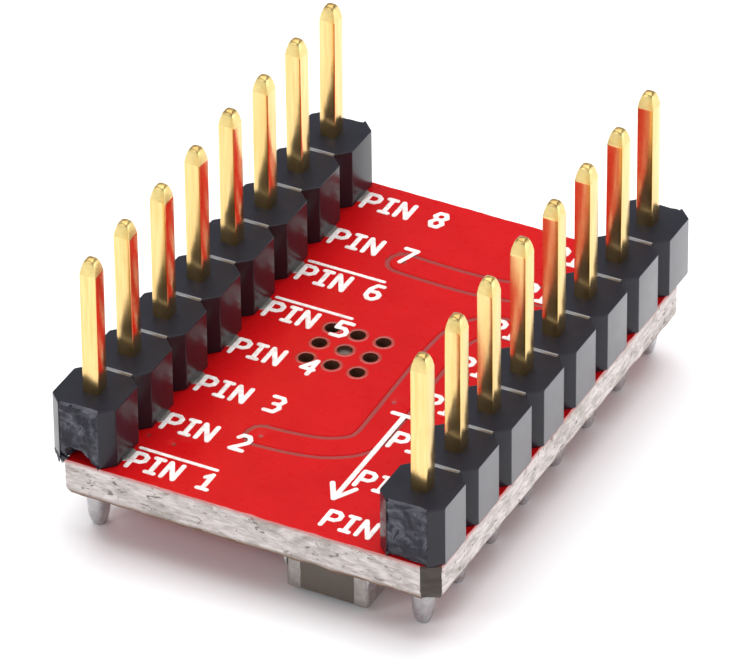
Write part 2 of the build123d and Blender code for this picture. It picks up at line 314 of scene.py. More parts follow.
# Dull solder that has wicked into a via, brown with old flux.
PLUG = mingled("via_plug", (0.05, 0.035, 0.03), (0.20, 0.165, 0.14), (5.0, 4.0),
               [(0.01, 7.0)], Roughness=0.4, Metallic=0.6)

# The strips: satin black plastic with faint flow marks, which the mould leaves duller on the
# upper faces. The long outer flats and the groove slopes get a paler, shinier copy: a painted sheen.
PLASTIC = mingled("header_plastic", (0.012, 0.011, 0.016), (0.018, 0.017, 0.024), (1.2, 5.0),
                  [(0.0005, 11.0, 2.0), (0.002, 0.8, 2.0)], (0.22, 0.27, 1.4, 4.0),
                  IOR=1.45, Specular_IOR_Level=0.38)
PLASTIC_TOP = mingled("header_plastic_top", (0.010, 0.010, 0.016), (0.015, 0.015, 0.024),
                      (1.6, 5.0), [(0.0015, 12.0, 2.0), (0.002, 0.8, 2.0)],
                      (0.38, 0.48, 2.4, 4.0), IOR=1.45, Specular_IOR_Level=0.11)
# A paler copy of the plastic for the outer flats and groove slopes: painted sheen and highlights.
PLASTIC_SHEEN = mingled("header_plastic_painted_sheen", (0.070, 0.068, 0.080), (0.084, 0.082, 0.094),
                       (1.6, 5.0), [(0.001, 11.0)], (0.28, 0.34, 2.0, 4.0), IOR=2.0)
SNAPPED = snapped_surface()
# Paler plastic on the torn ends' groove slopes: a painted highlight.
TORN_GROOVE_HIGHLIGHT = torn_groove_highlight_surface()

# The pins and their solder.
GOLD = gold_surface()
COINED = coined_surface()
SOLDER = mingled("solder", (0.36, 0.35, 0.36), (0.64, 0.63, 0.64), (3.0,),
                 [(0.008, 4.0)], (0.18, 0.42, 4.0), Metallic=0.95)

# The chip components: matt plated caps with the grain of fired paste, ceramic and coating.
TIN = mingled("terminal_tin", (0.20, 0.18, 0.165), (0.50, 0.47, 0.44), (4.0, 5.0),
              [(0.02, 8.0, 4.0)], (0.30, 0.55, 7.0), Metallic=0.9)
CAPACITOR = mingled("capacitor_ceramic", (0.062, 0.047, 0.036), (0.11, 0.085, 0.066), (1.5, 5.0),
                    [(0.006, 10.0, 4.0)], Roughness=0.42)
RESISTOR = resistor_surface()
ALUMINA = mingled("alumina", (0.52, 0.51, 0.48), (0.68, 0.67, 0.64), (3.0,),
                  [(0.006, 14.0)], Roughness=0.6)

# The driver chip: charcoal moulding, its smoother round mark, and the die.
CHIP = mingled("chip_moulding", (0.014, 0.014, 0.015), (0.032, 0.032, 0.034), (12.0, 5.0),
               [(0.005, 18.0)], (0.40, 0.60, 9.0))
GREY_MARK = mingled("chip_mark", (0.045, 0.045, 0.05), (0.08, 0.08, 0.085), (8.0,),
                    [(0.001, 12.0)], Roughness=0.3)
SILICON = mingled("silicon", (0.12, 0.13, 0.17), (0.20, 0.20, 0.24), (4.0,),
                  [(0.001, 8.0)], Roughness=0.15, Metallic=0.6)

# The trimmer: its printed track, its brass pieces and its nickel-plated rotor.
TRACK = mingled("resistive_track", (0.014, 0.014, 0.015), (0.035, 0.035, 0.036), (6.0,),
                [(0.004, 12.0)], Roughness=0.45)
BRASS = mingled("rolled_brass", (0.55, 0.38, 0.17), (0.72, 0.52, 0.25), (3.0,),
                [(0.004, 9.0)], (0.22, 0.40, 5.0), Metallic=1.0)
NICKEL = mingled("nickel_plate", (0.38, 0.365, 0.34), (0.55, 0.53, 0.50), (4.0,),
                 [(0.004, 10.0)], (0.20, 0.40, 8.0), Metallic=1.0)


# ---------------------------------------------------------------- mesh tools

def new_piece(name, bm, materials, replaces=(), sharp=35):
    """Turns a mesh in millimetres into a piece that rides on the module."""
    bmesh.ops.recalc_face_normals(bm, faces=bm.faces)
    bmesh.ops.scale(bm, vec=(MM, MM, MM), verts=bm.verts)
    mesh = bpy.data.meshes.new(name)
    bm.to_mesh(mesh)
    bm.free()
    mesh.shade_smooth()
    mesh.set_sharp_from_angle(angle=math.radians(sharp))
    for material in materials:
        mesh.materials.append(material)
    piece = bpy.data.objects.new(name, mesh)
    scene.collection.objects.link(piece)
    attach(piece, "module")
    if replaces:
        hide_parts(*replaces)


def skin(bm, rings, close_ends=True):
    """Joins rings of points, each of the same count, with quads. Returns the rings' vertices."""
    made = [[bm.verts.new(p) for p in ring] for ring in rings]
    for lower, upper in zip(made, made[1:]):
        for i in range(len(lower)):
            j = (i + 1) % len(lower)
            bm.faces.new((lower[i], lower[j], upper[j], upper[i]))
    if close_ends:
        bm.faces.new(made[0][::-1])
        bm.faces.new(made[-1])
    return made


def rough(x, y, z, scale, seed=0.0):
    """Smooth noise from about -1 to 1 at a place, with scale in features per millimetre."""
    return noise.noise(Vector((x * scale + seed, y * scale - seed, z * scale + 2 * seed)))


def merge(bm, part):
    """Adds the faces of a finished part to bm."""
    mesh = bpy.data.meshes.new("part")
    part.to_mesh(mesh)
    part.free()
    bm.from_mesh(mesh)
    bpy.data.meshes.remove(mesh)


def circle(cx, cy, radius, count):
    """The flat corners of a regular polygon of count sides."""
    turns = (2 * math.pi * i / count for i in range(count))
    return [(cx + radius * math.cos(t), cy + radius * math.sin(t)) for t in turns]


def at_height(outline, z):
    """A ring of points from a flat outline."""
    return [(x, y, z) for x, y in outline]


def block(bm, low, high, radius, segments=2):
    """A box with rounded edges."""
    outline = ((low[0], low[1]), (high[0], low[1]), (high[0], high[1]), (low[0], high[1]))
    rings = skin(bm, [at_height(outline, low[2]), at_height(outline, high[2])])
    edges = dict.fromkeys(e for ring in rings for v in ring for e in v.link_edges)
    bmesh.ops.bevel(bm, geom=list(edges), offset=radius, segments=segments, affect="EDGES",
                    profile=0.5, clamp_overlap=True)


def smooth_path(points, steps=8):
    """A Catmull-Rom curve through flat points."""
    p = [Vector(points[0])] + [Vector(q) for q in points] + [Vector(points[-1])]
    path = []
    for a, b, c, d in zip(p, p[1:], p[2:], p[3:]):
        for i in range(steps):
            t = i / steps
            path.append(0.5 * (2 * b + (c - a) * t + (2 * a - 5 * b + 4 * c - d) * t ** 2
                               + (3 * b - a - 3 * c + d) * t ** 3))
    return path + [p[-1]]


def around(path, distance, cap=9):
    """The outline that runs at a distance round a path, with round ends."""
    def side(points):
        shifted = []
        for i, p in enumerate(points):
            ahead = points[min(i + 1, len(points) - 1)] - points[max(i - 1, 0)]
            normal = Vector((ahead.y, -ahead.x)).normalized()
            shifted.append(p + normal * distance)
        end = points[-1]
        start_angle = math.atan2(shifted[-1].y - end.y, shifted[-1].x - end.x)
        for i in range(1, cap):
            a = start_angle + math.pi * i / cap
            shifted.append(end + Vector((math.cos(a), math.sin(a))) * distance)
        return shifted
    return [(p.x, p.y) for p in side(path) + side(path[::-1])]


def path_distance(point, path):
    """How far a point is from a path of straight runs."""
    best = math.inf
    for a, b in zip(path, path[1:]):
        along = b - a
        t = max(0.0, min(1.0, (point - a).dot(along) / max(along.length_squared, 1e-9)))
        best = min(best, (a + along * t - point).length)
    return best


# ---------------------------------------------------------------- board

FRONT_CUT = (0.6, 0.3)
BACK_CUT = (0.55, 1.0)
VIA_CENTRE = (-1.24, 0.0)
VIA_PITCH = 1.016
VIA_SPOTS = [(VIA_CENTRE[0] + i * VIA_PITCH, VIA_CENTRE[1] + j * VIA_PITCH)
             for i in (-1, 0, 1) for j in (-1, 0, 1)]
VIA_HOLE = 0.32
VIA_PLUG_RADIUS = 0.285
TRACE_HALF_WIDTH = 0.46
GAP_WIDTH = 0.23
GAP_DEPTH = 0.03
GAP_SLOPE = 0.04
TOP_TRACES = (
    ((-1.49, -5.84), (-0.35, -5.74), (0.75, -5.50), (1.60, -4.98), (1.95, -4.30), (1.96, -2.90),
     (1.90, -0.75), (1.88, 1.60), (2.05, 2.75), (2.75, 3.60), (4.40, 3.80), (6.35, 3.81)),
    ((-1.84, 5.74), (-1.0, 5.69), (0.6, 5.66), (1.75, 5.75), (3.4, 6.05), (4.8, 6.33),
     (6.35, 6.35)),
)
COVERED_VIAS = ((-1.84, 5.8), (-1.49, -5.88), (-5.02, -7.54), (-3.98, -7.64), (1.74, -2.02))
COVERED_VIA_RADIUS = 0.20
PAD_RADIUS = 0.44
PAD_OUTER_REACH = 0.14
PAD_INNER_REACHES = ((TOP_Z, 0.008, 1.08), (UNDER_Z, -0.02, 0.5))  # height, thickness, reach
EDGE_LEVELS = 15
EDGE_LIP = 0.03
UNDERCUT = 0.19
UNDERCUT_HEIGHT = 0.42
UNDER_TRACE_HALF_WIDTH = 0.17
UNDER_TRACES = (
    ((5.0, -3.81), (4.2, -4.25), (2.7, -4.35), (2.15, -3.7), (1.95, -2.6)),
    ((5.0, -1.27), (4.3, -1.80), (2.8, -1.85), (1.75, -1.0)),
    ((5.0, 1.27), (4.2, 0.70), (2.8, 0.65), (1.75, 0.4)),
    ((5.0, 3.81), (4.2, 3.20), (2.6, 3.12), (1.8, 1.5)),
    ((5.0, 6.35), (4.2, 5.75), (2.7, 5.70), (2.0, 4.9), (1.6, 4.3)),
    ((5.0, 8.89), (3.6, 8.85), (2.4, 8.3), (1.6, 7.1)),
    ((5.0, -6.35), (4.4, -6.95), (1.6, -7.0), (0.2, -6.6), (-0.6, -5.5)),
    ((-5.0, -8.89), (-2.4, -8.8), (-0.2, -8.75), (0.8, -8.75)),
    ((-5.0, -6.35), (-3.6, -6.35), (-1.9, -6.0), (-1.4, -4.6), (-1.4, -3.1)),
    ((-5.0, -3.81), (-4.8, -3.0), (-4.3, -2.5), (-3.9, -2.0)),
    ((-5.0, 3.81), (-4.7, 3.0), (-4.2, 2.6), (-3.9, 2.0)),
    ((-5.0, 6.35), (-3.8, 6.3), (-2.6, 5.9), (-1.2, 4.9), (-1.2, 3.1)),
    ((-5.0, 8.89), (-3.4, 8.85), (-2.6, 7.7)),
)
UNDER_VIAS = (
    (1.95, -2.6), (-1.4, -3.1), (1.6, 4.3), (-0.6, -5.5), (-4.3, 5.1), (-4.4, -5.2), (0.0, -7.7),
    (-2.9, -7.6), (2.3, 7.0), (-3.4, 7.3), (2.1, 2.5), (-4.6, 0.0),
)


def board_outline():
    """The corners of the board, from the front left round to the back left."""
    left, front = BOARD_LOW.x, BOARD_LOW.y
    right, back = BOARD_HIGH.x, BOARD_HIGH.y
    return (
        (left, front),
        (right - FRONT_CUT[0], front),
        (right, front + FRONT_CUT[1]),
        (right, back - BACK_CUT[1]),
        (right - BACK_CUT[0], back),
        (left, back),
    )


def fine_outline(step=0.11):
    """The board's outline in short steps."""
    corners = [Vector(p) for p in board_outline()]
    fine = []
    for a, b in zip(corners, corners[1:] + corners[:1]):
        count = max(2, round((b - a).length / step))
        fine += [a.lerp(b, i / count) for i in range(count)]
    return fine


def inward(p, side_x=6.9, end_y=9.7):
    """The way to the board's inside from its outline, whose sides lie past side_x and end_y."""
    return Vector((-math.copysign(1, p.x) * (abs(p.x) > side_x),
                   -math.copysign(1, p.y) * (abs(p.y) > end_y)))


def sawn_edges(outline):
    """The laminate's edge, torn along the cut and rounded under at its lower arris.

    Returns the outlines that it leaves at the component side and at the pin side.
    """
    bm = bmesh.new()
    height = TOP_Z - UNDER_Z
    heights = [(height - EDGE_LIP) * (k / EDGE_LEVELS) ** 1.2 for k in range(EDGE_LEVELS + 1)]
    heights.append(height)
    rings = []
    for k, up in enumerate(heights):
        z = UNDER_Z + up
        ring = []
        for p in outline:
            strand = rough(p.x * 0.9, p.y * 0.9, z * 6, 1.0)
            pit = max(0.0, rough(p.x * 1.4, p.y * 1.4, z * 3.5, 1.0, 7.0) - 0.25)
            undercut = UNDERCUT * max(0.0, 1 - up / UNDERCUT_HEIGHT) ** 2
            undercut *= 1 + 0.5 * rough(p.x, p.y, 0, 1.3, 3.0)
            depth = 0.022 + 0.022 * strand + 0.12 * pit + undercut
            if k >= EDGE_LEVELS:
                depth = 0.015 + 0.015 * rough(p.x, p.y, 0, 3.0, 4.0)
            if k > EDGE_LEVELS:
                depth += 0.035 + 0.03 * rough(p.x, p.y, 0, 2.0, 8.0)
            q = p + inward(p) * max(0.0, depth)
            ring.append((q.x, q.y, z))
        rings.append(ring)
    made = skin(bm, rings, close_ends=False)
    clipped = [i for i, p in enumerate(outline)
               if p.x > BOARD_HIGH.x - FRONT_CUT[0] and p.y < BOARD_LOW.y + FRONT_CUT[1]]
    clipped_verts = {ring[i] for ring in made for i in clipped}
    for f in bm.faces:
        if any(v in clipped_verts for v in f.verts):
            f.material_index = 1
    new_piece("board_edges", bm, (LAMINATE, BARE), sharp=60)
    return [[Vector(p[:2]) for p in ring] for ring in (rings[0], rings[-1])]


def mask_sheet(name, z, up, outline, traces, inner, holes, dimples, replaces=()):
    """One face of the board: mask over copper, sunk along the gaps beside each trace.

    inner is a trace's half width, where its gap begins, and dimples are the covered vias.
    """
    outer = inner + GAP_WIDTH
    paths = [smooth_path(points) for points in traces]
    loops = [[(p.x, p.y) for p in outline]]
    for path in paths:
        for distance in (inner, inner + GAP_SLOPE, outer - GAP_SLOPE, outer):
            loops.append(around(path, distance))
    for x, y in holes:
        loops.append(circle(x, y, VIA_HOLE, 36))
    for x, y in dimples:
        loops.append(circle(x, y, COVERED_VIA_RADIUS, 20))
        loops.append(circle(x, y, COVERED_VIA_RADIUS * 0.45, 12))

    def sunk(point):
        for x, y in dimples:
            r = (point - Vector((x, y))).length
            if r < COVERED_VIA_RADIUS - 1e-3:
                return min(1.0, (COVERED_VIA_RADIUS - r) / (COVERED_VIA_RADIUS * 0.5)) * 0.8
        d = min((path_distance(point, path) for path in paths), default=9)
        return max(0.0, min(1.0, (d - inner) / GAP_SLOPE, (outer - d) / GAP_SLOPE))

    points, edges = [], []
    for loop in loops:
        first = len(points)
        points += [Vector(p) for p in loop]
        edges += [(first + i, first + (i + 1) % len(loop)) for i in range(len(loop))]
    flat, _, triangles, _, _, _ = delaunay_2d_cdt(points, edges, [], 1, 1e-5)
    bm = bmesh.new()
    verts = [bm.verts.new((p.x, p.y, z - up * GAP_DEPTH * sunk(p))) for p in flat]
    for corners in triangles:
        centre = sum((flat[i] for i in corners), Vector((0, 0))) / 3
        if any((centre - Vector(spot)).length < VIA_HOLE for spot in holes):
            continue
        face = bm.faces.new([verts[i] for i in corners])
        face.material_index = 1 if sunk(centre) > 0.75 else 0
    bmesh.ops.delete(bm, geom=[v for v in bm.verts if not v.link_faces], context="VERTS")
    new_piece(name, bm, (MASK, GAP), replaces, sharp=22)


def via_rims():
    """A low mask-covered ridge round each thermal via, and solder in the middle one."""
    bm = bmesh.new()
    profile = ((0.283, -0.05), (0.290, 0.003), (0.315, 0.009), (0.36, 0.008), (0.39, 0.004),
               (0.405, -0.002))
    for spot in VIA_SPOTS:
        rings = [at_height(circle(*spot, radius, 36), TOP_Z + rise) for radius, rise in profile]
        skin(bm, rings + rings[:1], close_ends=False)
    bmesh.ops.remove_doubles(bm, verts=bm.verts, dist=1e-5)
    new_piece("via_rims", bm, (RIM,), sharp=60)
    bm = bmesh.new()
    skin(bm, [at_height(circle(*VIA_CENTRE, VIA_PLUG_RADIUS * share, 28),
                        TOP_Z - 0.16 - 0.10 * (1 - share ** 2))
              for share in (1.0, 0.8, 0.55, 0.3, 0.08)])
    new_piece("via_solder", bm, (PLUG,), sharp=60)


def row_pads():
    """The plated oval pads that the header pins stand in, longer on the pin side."""
    bm = bmesh.new()
    for pin in CONTROL_PINS + MOTOR_PINS:
        x, y, _ = middle_mm(f"pin_{pin}")
        inside = -math.copysign(1, x)
        for z, lift, reach in PAD_INNER_REACHES:
            path = [Vector((x - inside * PAD_OUTER_REACH, y)), Vector((x + inside * reach, y))]
            skin(bm, [at_height(around(path, PAD_RADIUS * share), z + lift * level)
                      for share, level in ((1.0, 0.0), (0.96, 0.8), (0.9, 1.0))])
    new_piece("pin_pads", bm, (TIN,), sharp=40)


# ---------------------------------------------------------------- printed legend

GLYPH_WIDTH = 0.46
GLYPH_HEIGHT = 0.86
GLYPH_ADVANCE = 0.68
STROKE_RADIUS = 0.095
INK_HEIGHT = 0.018
INK_STEP = 0.0007
BELOW_PIN = 0.62
TEXT_X = {"control": -4.86, "motor": 2.72}
BARRED_PINS = (1, 5, 6)
BAR_X = (-4.9, -1.9)
BAR_RISE = 1.16
BAR_RADIUS = 0.075
ARROW_X = 2.45
ARROW_TIP_Y = -8.0
ARROW_TAIL_Y = -2.6
ARROW_HALF_WIDTH = 0.45
ARROW_HEAD = 0.8
ARROW_RADIUS = 0.1
LINE_RADIUS = 0.06
CORNER_MARK = 0.5
GLYPHS = {
    "P": (((0, 0), (0, 1), (0.7, 1), (1, 0.86), (1, 0.6), (0.7, 0.46), (0, 0.46)),),
    "I": (((0.5, 0), (0.5, 1)), ((0.15, 1), (0.85, 1)), ((0.15, 0), (0.85, 0))),
    "N": (((0, 0), (0, 1), (1, 0), (1, 1)),),
    "0": (((0.3, 0), (0, 0.2), (0, 0.8), (0.3, 1), (0.7, 1), (1, 0.8), (1, 0.2), (0.7, 0),
           (0.3, 0)),),
    "1": (((0.15, 0.75), (0.55, 1), (0.55, 0)), ((0.15, 0), (0.95, 0))),
    "2": (((0, 0.8), (0.25, 1), (0.75, 1), (1, 0.8), (1, 0.6), (0, 0), (1, 0)),),
    "3": (((0, 1), (0.75, 1), (1, 0.8), (0.8, 0.55), (0.35, 0.53)),
          ((0.8, 0.53), (1, 0.3), (0.75, 0), (0, 0))),
    "4": (((0.8, 0), (0.8, 1), (0, 0.35), (1, 0.35)),),
    "5": (((1, 1), (0.05, 1), (0, 0.56), (0.7, 0.58), (1, 0.4), (1, 0.2), (0.7, 0), (0, 0)),),
    "6": (((0.85, 1), (0.35, 1), (0, 0.65), (0, 0.2), (0.3, 0), (0.7, 0), (1, 0.2), (1, 0.4),
           (0.7, 0.55), (0, 0.5)),),
    "7": (((0, 1), (1, 1), (0.35, 0)),),
    "8": (((0.3, 0.54), (0, 0.75), (0.25, 1), (0.75, 1), (1, 0.75), (0.7, 0.54), (0.3, 0.54),
           (0, 0.28), (0.25, 0), (0.75, 0), (1, 0.28), (0.7, 0.54)),),
    "9": (((0.15, 0), (0.65, 0), (1, 0.35), (1, 0.8), (0.7, 1), (0.3, 1), (0, 0.8), (0, 0.6),
           (0.3, 0.45), (1, 0.5)),),
}


def pen_stroke(bm, start, end, radius, z, up=1, order=0):
    """A flat dome of ink round the line from start to end.

    order sets how high it lies, so that the strokes of a letter cross without sharing a plane.
    """
    path = [Vector(start), Vector(end)]
    if (path[1] - path[0]).length < 1e-6:
        return
    height = up * (INK_HEIGHT + INK_STEP * (order % 11))
    skin(bm, [at_height(around(path, radius * share, 7), z + height * level)
              for share, level in ((1.0, 0.0), (0.95, 0.55), (0.8, 0.9), (0.55, 1.0))])


def write(bm, text, x, y, z):
    """Draws a line of text whose first glyph has its lower left corner at x, y."""
    order = 0
    for i, letter in enumerate(text):
        for stroke in GLYPHS.get(letter, ()):
            spots = [(x + i * GLYPH_ADVANCE + px * GLYPH_WIDTH, y + py * GLYPH_HEIGHT)
                     for px, py in stroke]
            for a, b in zip(spots, spots[1:]):
                pen_stroke(bm, a, b, STROKE_RADIUS, z, order=order)
                order += 1


def legends():
    """Plain pin numbers beside the rows, bars over three of them, and an arrow to the front."""
    bm = bmesh.new()
    for row, pins in ROWS:
        for place, pin in enumerate(pins, 1):
            number = place if row == "control" else 2 * len(pins) + 1 - place
            y = middle_mm(f"pin_{pin}").y - BELOW_PIN
            write(bm, f"PIN {number}", TEXT_X[row], y, TOP_Z)
            if number in BARRED_PINS:
                bar_y = y + BAR_RISE
                pen_stroke(bm, (BAR_X[0], bar_y), (BAR_X[1], bar_y), BAR_RADIUS, TOP_Z)
    tip, tail = Vector((ARROW_X, ARROW_TIP_Y)), Vector((ARROW_X, ARROW_TAIL_Y))
    wing = Vector((ARROW_HALF_WIDTH, 0))
    barb = Vector((0, ARROW_HEAD))
    strokes = ((tail, tip), (tip, tip - wing + barb), (tip, tip + wing + barb),
               (tail - wing, tail + wing))
    for order, (start, end) in enumerate(strokes):
        pen_stroke(bm, start, end, ARROW_RADIUS, TOP_Z, order=order)
    new_piece("legend_print", bm, (LEGEND,), sharp=50)


def component_legends():
    """White lines beside each chip component, and corner marks round the chip and trimmer."""
    bm = bmesh.new()
    for name in COMPONENTS:
        low, high, axis = component_box(name)
        middle = (low + high) / 2
        reach = (high[axis] - low[axis]) * 0.22
        for side in (-1, 1):
            start = middle.xy
            start[axis] -= reach
            start[1 - axis] += side * ((high - low)[1 - axis] / 2 + 0.14)
            end = start.copy()
            end[axis] += 2 * reach
            pen_stroke(bm, start, end, LINE_RADIUS, UNDER_Z, up=-1)
    for node, gap in (("chip_moulding", 0.32), ("trimmer_base", 0.25)):
        low, high = box_mm(node)
        for x, along_x in ((low.x - gap, CORNER_MARK), (high.x + gap, -CORNER_MARK)):
            for y, along_y in ((low.y - gap, CORNER_MARK), (high.y + gap, -CORNER_MARK)):
                pen_stroke(bm, (x, y), (x + along_x, y), LINE_RADIUS, UNDER_Z, up=-1)
                pen_stroke(bm, (x, y), (x, y + along_y), LINE_RADIUS, UNDER_Z, up=-1, order=1)
    new_piece("component_legend_print", bm, (LEGEND,), sharp=50)


# ---------------------------------------------------------------- header strips and pins

NECK_HALF_WIDTH = 0.75
FLAT_HALF_LENGTH = 0.785
STRIP_HALF_WIDTH = 1.25
ARRIS = 0.045
GROOVE_WIDTH = 0.07
GROOVE_DEPTH = 0.09
RIM_HEIGHTS = (0.0, 0.006, 0.02, ARRIS)
TORN_LEVELS = 34
TORN_COLUMNS = 26
SCAR_REACH = 0.95
STRIP_FINISHES = (PLASTIC, SNAPPED, PLASTIC_SHEEN, PLASTIC_TOP, TORN_GROOVE_HIGHLIGHT)
# Flash: its place along the front left facet or across the neck, and how far it hangs.
FACET_FLASH = ((0.02, 0.12), (0.10, 0.20), (0.18, 0.30), (0.27, 0.30), (0.36, 0.34), (0.45, 0.28),
               (0.55, 0.24), (0.66, 0.16), (0.88, 0.24))
NECK_FLASH = ((0.00, 0.30), (0.07, 0.26), (0.14, 0.22), (0.22, 0.18))
# Heights above the tails' ends, or depths below the tip, each with a side and a corner radius.
PIN_FOOT = (
    (0.02, 0.20, 0.03), (0.20, 0.32, 0.04), (0.42, 0.42, 0.05), (0.90, 0.50, 0.05),
    (1.72, 0.56, 0.05), (1.9, 0.635, 0.05), (2.5, 0.64, 0.05), (5.7, 0.64, 0.05),
    (8.0, 0.637, 0.05),
)
PIN_TIP = (
    (0.64, 0.638, 0.05), (0.58, 0.636, 0.05), (0.56, 0.627, 0.05), (0.53, 0.615, 0.05),
    (0.35, 0.555, 0.05), (0.17, 0.455, 0.06), (0.12, 0.42, 0.07), (0.08, 0.38, 0.08),
    (0.045, 0.325, 0.09), (0.018, 0.25, 0.09), (0.0, 0.13, 0.05),
)
COINED_LENGTH = 0.57
# Depths below the board and radii of the solder on a tail.
TAIL_PROFILE = (
    (0.0, 0.575), (0.06, 0.56), (0.25, 0.48), (0.55, 0.43), (0.9, 0.40), (1.2, 0.375),
    (1.45, 0.335), (1.65, 0.285), (1.74, 0.25), (1.785, 0.21), (1.8, 0.16),
)


def scar_depth(u, v, seed, chipped):
    """How far the torn end of a strip lies behind its full length.

    u runs from 0 to 1 across the neck and v from 0 to 1 up it.
    """
    across, up = u * 1.5, v * 2.4
    swirl = rough(across, seed, up, 1.5, seed) + 0.5 * rough(across, seed, up, 4.0, seed)
    depth = 0.07 + 0.07 * swirl + 0.02 * rough(across, seed, up, 9.0, seed)
    depth += 0.12 * max(0.0, 1 - math.hypot(across - 0.75, up - 1.0) / 0.45)
    foot = max(0.0, 1 - up / 0.28)
    depth += 0.16 * foot * (1 - 0.7 * u)
    if chipped:
        bite = max(0.0, 1 - math.hypot((across - 0.15) * 0.52, up) / (0.50 + 0.08 * swirl))
        depth += 0.5 * min(1.0, bite * 3.0) * max(0.0, min(1.0, (u - 0.12) / 0.04))
    return max(0.0, depth)


def housing_ring(x, y, z, low, high, columns, front, back):
    """The outline of one octagonal housing at height z.

    front and back tell how far a torn neck face lies behind the full pitch, as functions of the
    place across the neck and up it, each from 0 to 1. They are None for a face that isn't torn.
    """
    half = PITCH / 2
    neck, flat, wide = NECK_HALF_WIDTH, FLAT_HALF_LENGTH, STRIP_HALF_WIDTH
    corners = [Vector(c) for c in (
        (-neck, -half), (neck, -half), (wide, -flat), (wide, flat),
        (neck, half), (-neck, half), (-wide, flat), (-wide, -flat),
    )]
    ring = []
    for i, corner in enumerate(corners):
        before = (corners[i - 1] - corner).normalized() * ARRIS
        after = (corners[(i + 1) % 8] - corner).normalized() * ARRIS
        ring += [corner + before, corner + (before + after) / 4, corner + after]
        if i in (0, 4):
            end = corners[i + 1] - (corners[i + 1] - corner).normalized() * ARRIS
            start = ring[-1]
            ring += [start.lerp(end, k / columns) for k in range(1, columns)]
    share = (z - low) / (high - low)
    groove = GROOVE_WIDTH * max(0.0, 1 - (high - z) / GROOVE_DEPTH)
    rounding = max(0.0, ARRIS - min(z - low, high - z))
    inset = ARRIS - math.sqrt(ARRIS ** 2 - rounding ** 2)
    points = []
    for p in ring:
        q = p - p.normalized() * inset
        if abs(p.y) > half - 0.02:
            face = front if p.y < 0 else back
            torn = face(0.5 + p.x / (2 * neck), share) if face else 0.0
            q.y = math.copysign(abs(q.y) - groove - torn, p.y)
        points.append((x + q.x, y + q.y, z))
    return points


def strip_finish(f, x, y, groove_z, torn_end):
    """The finish of a face of the housing at x, y; torn_end is -1, 1 or 0 for neither end."""
    middle = f.calc_center_median()
    at_end = (middle.y - y) * torn_end > PITCH / 2 - SCAR_REACH
    on_neck = abs(middle.x - x) < NECK_HALF_WIDTH - 0.01
    if at_end and on_neck and f.calc_area() < 0.05 and middle.z < groove_z:
        return SNAPPED
    f.normal_update()
    n = f.normal
    in_groove = 0.2 < n.z < 0.95 and abs(n.x) < 0.25
    # Outer groove slopes at a torn end: a painted highlight on those facing more upward, torn grain
    # on the rest.
    if in_groove and n.y * torn_end > 0:
        return TORN_GROOVE_HIGHLIGHT if n.z > 0.4 else SNAPPED
    # The long outer flats and the other groove slopes get a painted sheen.
    if n.x * math.copysign(1, x) > 0.95 or in_groove and n.z > 0.4:
        return PLASTIC_SHEEN
    return PLASTIC_TOP if n.z > 0.95 else PLASTIC


def header_strip(row, seed):
    """A snapped-off strip of eight housings, with rounded arrises and grooves between them."""
    node = f"header_strip_{row}"
    low, high = box_mm(node)
    x = (low.x + high.x) / 2
    groove_z = high.z - GROOVE_DEPTH
    foot_levels = [low.z + rim for rim in RIM_HEIGHTS]
    top_levels = [groove_z] + [high.z - rim for rim in RIM_HEIGHTS[::-1]]
    spacing = (high.z - low.z - GROOVE_DEPTH - ARRIS) / TORN_LEVELS
    torn_levels = [low.z + ARRIS + spacing * k for k in range(1, TORN_LEVELS)]
    bm = bmesh.new()
    for i in range(8):
        y = low.y + PITCH * (i + 0.5)
        torn_end = {0: -1, 7: 1}.get(i, 0)
        front = partial(scar_depth, seed=seed, chipped=row == "control") if i == 0 else None
        back = partial(scar_depth, seed=seed + 11, chipped=False) if i == 7 else None
        levels = foot_levels + (torn_levels if torn_end else []) + top_levels
        columns = TORN_COLUMNS if torn_end else 1
        part = bmesh.new()
        skin(part, [housing_ring(x, y, z, low.z, high.z, columns, front, back) for z in levels])
        for f in part.faces:
            f.material_index = STRIP_FINISHES.index(strip_finish(f, x, y, groove_z, torn_end))
        merge(bm, part)
    if row == "control":
        for along, drop in FACET_FLASH:
            spot = (x - 0.79 - 0.44 * along, low.y + 0.10 + 0.44 * along, low.z)
            flash(bm, spot, (-0.02, 0.0, -drop))
        for across, drop in NECK_FLASH:
            flash(bm, (x - 0.76 + across, low.y + 0.14, low.z), (0.0, 0.0, -drop))
        flash(bm, (x + 0.70, low.y + 0.10, low.z + 0.03), (0.03, -0.08, -0.10))
    new_piece(f"{node}_moulding", bm, STRIP_FINISHES, (node,), sharp=32)


def flash(bm, foot, reach):
    """A thin spike of plastic left at a parting line."""
    rings = []
    for share, radius in ((-0.3, 0.06), (0.0, 0.065), (0.5, 0.04), (1.0, 0.008)):
        x, y, z = Vector(foot) + Vector(reach) * share
        rings.append(at_height(circle(x, y, radius, 8), z))
    skin(bm, rings)


def rounded_square(x, y, side, corner, turn, z, steps=3):
    """A ring of points round a square with rounded corners."""
    half = side / 2 - corner
    ring = []
    for quarter in range(4):
        middle = math.pi / 4 + quarter * math.pi / 2
        cx = half * math.copysign(1, math.cos(middle))
        cy = half * math.copysign(1, math.sin(middle))
        for k in range(steps + 1):
            a = quarter * math.pi / 2 + k / steps * math.pi / 2
            px, py = cx + corner * math.cos(a), cy + corner * math.sin(a)
            ring.append((x + px * math.cos(turn) - py * math.sin(turn),
                         y + px * math.sin(turn) + py * math.cos(turn), z))
    return ring


